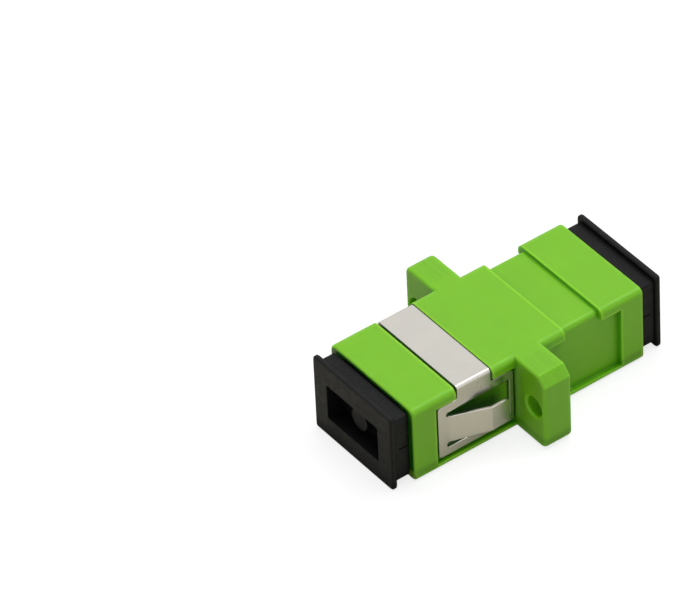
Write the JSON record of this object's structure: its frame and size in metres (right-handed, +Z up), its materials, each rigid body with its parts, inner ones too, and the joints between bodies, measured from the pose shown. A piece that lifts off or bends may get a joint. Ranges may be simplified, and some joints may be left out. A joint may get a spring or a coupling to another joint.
{
  "type": "sc fibre adapter",
  "caption": "Flanged fibre coupler with a receptacle at each end, a sprung steel panel clip, a split alignment sleeve, hooked latches and pull-off dust caps.",
  "frame": {"origin": "middle of the ferrule bore, where the two plugs meet, which is also the middle of the flange and of the part", "axes": "+X along the ferrule bore from the clip's (rear) half to the front end, +Y across the flange, +Z up, away from the keyways"},
  "size_m": [0.0332, 0.022, 0.0092],
  "materials": {
    "green_plastic": "lime green moulded plastic, satin gloss",
    "spring_steel": "bright rolled spring steel",
    "latch_plastic": "natural off-white moulded engineering plastic",
    "white_ceramic": "ground white zirconia ceramic",
    "black_plastic": "black moulded plastic, soft satin"
  },
  "bodies": {
    "adapter": {"housing": "green_plastic", "panel_clip": "spring_steel", "front_latch_holder": "latch_plastic", "rear_latch_holder": "latch_plastic", "alignment_sleeve": "white_ceramic"},
    "front_cap": {"front_dust_cap": "black_plastic"},
    "rear_cap": {"rear_dust_cap": "black_plastic"}
  },
  "joints": [
    {"name": "front_cap_pull", "type": "slide", "parent": "adapter", "child": "front_cap", "axis": [1, 0, 0], "range_m": [0, 0.025]},
    {"name": "rear_cap_pull", "type": "slide", "parent": "adapter", "child": "rear_cap", "axis": [-1, 0, 0], "range_m": [0, 0.025]}
  ]
}
